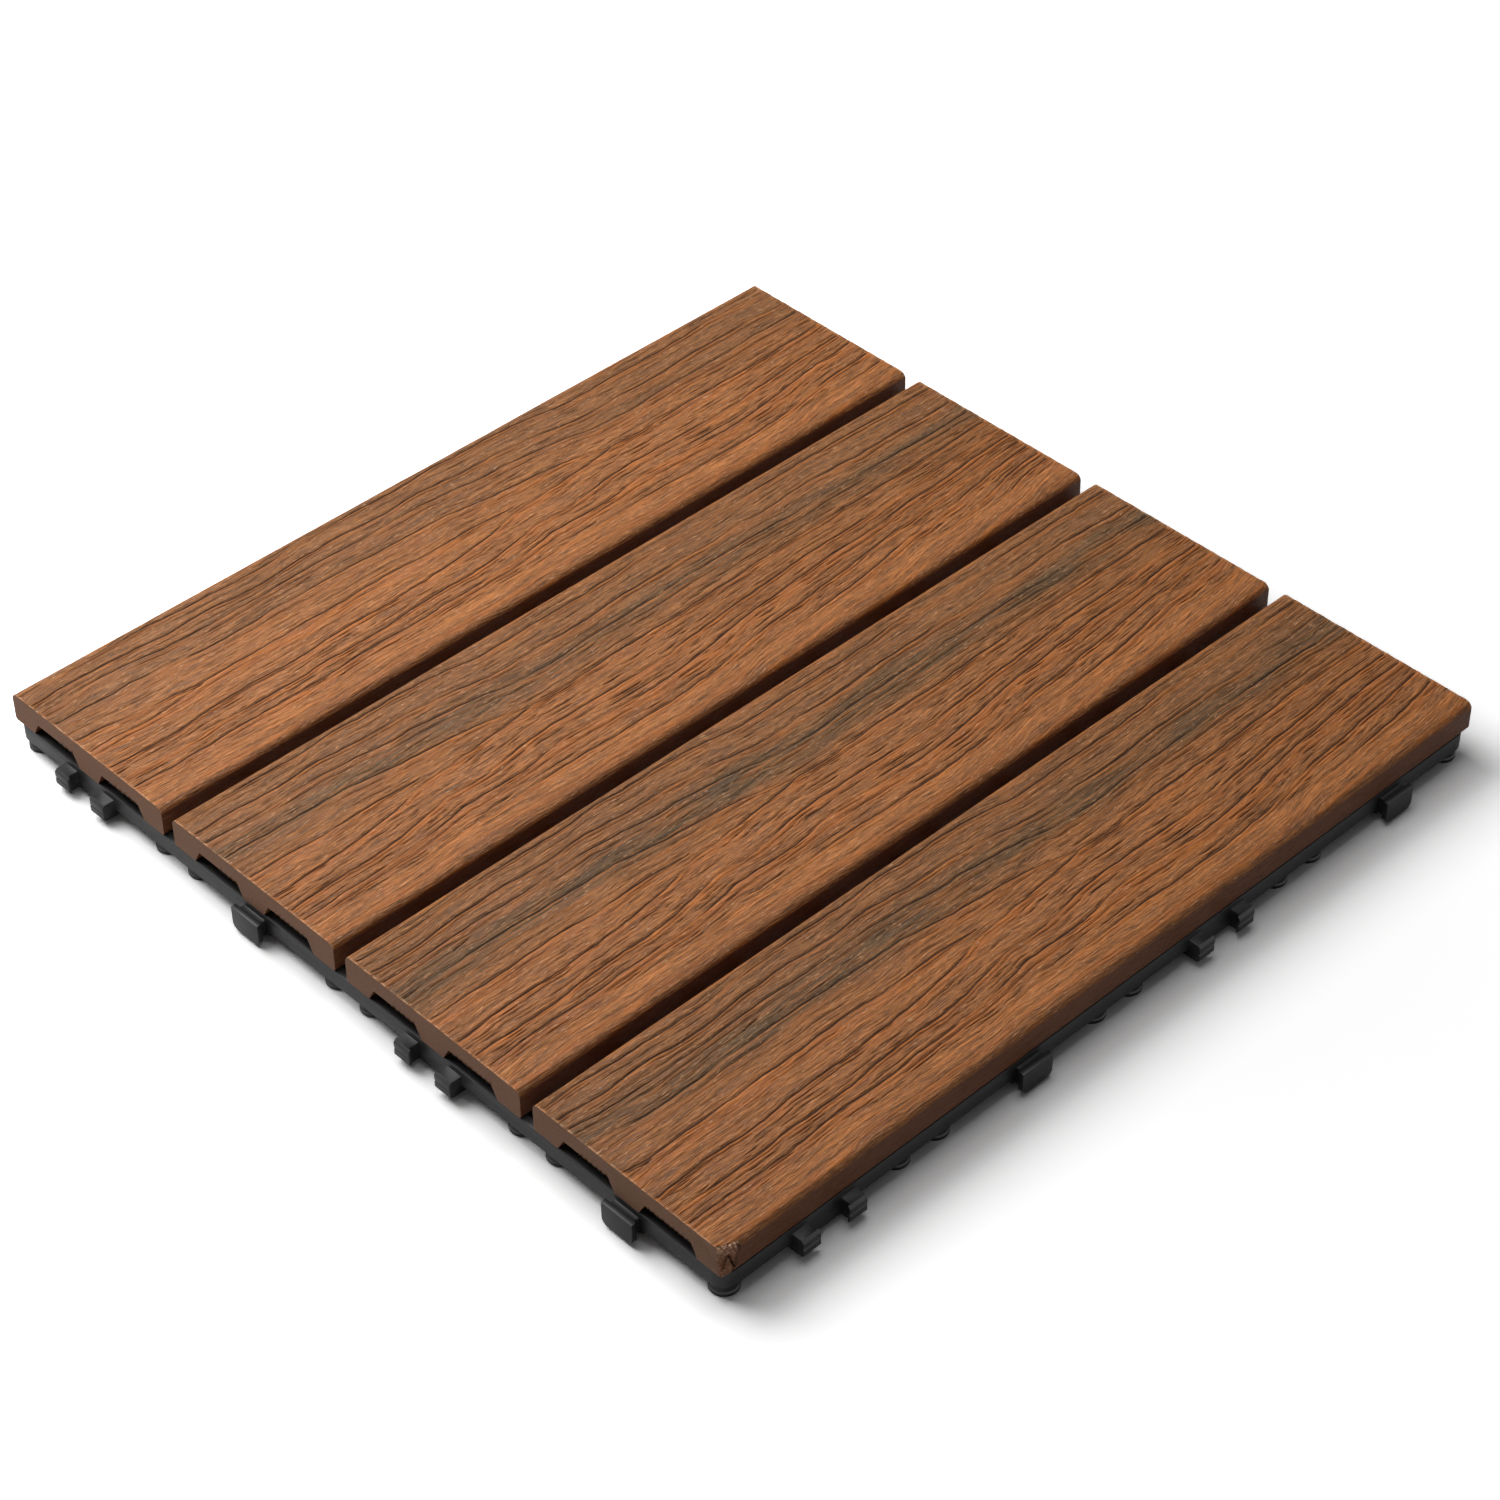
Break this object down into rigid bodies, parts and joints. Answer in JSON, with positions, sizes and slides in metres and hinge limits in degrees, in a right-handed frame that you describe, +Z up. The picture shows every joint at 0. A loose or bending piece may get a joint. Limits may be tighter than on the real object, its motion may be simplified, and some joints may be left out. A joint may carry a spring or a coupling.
{
  "type": "interlocking deck tile",
  "caption": "Square composite deck tile: side by side slats with channels below, screwed to a black moulded rib base with hooks and sockets on all sides.",
  "frame": {"origin": "middle of the tile on the ground that its feet stand on", "axes": "+Z up through the slats, +Y along the slats, +X across them; the end with the broken corner is at -Y, on the +X side"},
  "size_m": [0.3084, 0.3084, 0.02],
  "materials": {
    "composite": "embossed wood grain, matte",
    "black_plastic": "moulded, satin",
    "screw_steel": "zinc plated"
  },
  "bodies": {
    "root": {"base_grid": "black_plastic", "slat_1": "composite", "slat_2": "composite", "slat_3": "composite", "slat_4": "composite", "slat_screws": "screw_steel"}
  },
  "joints": []
}
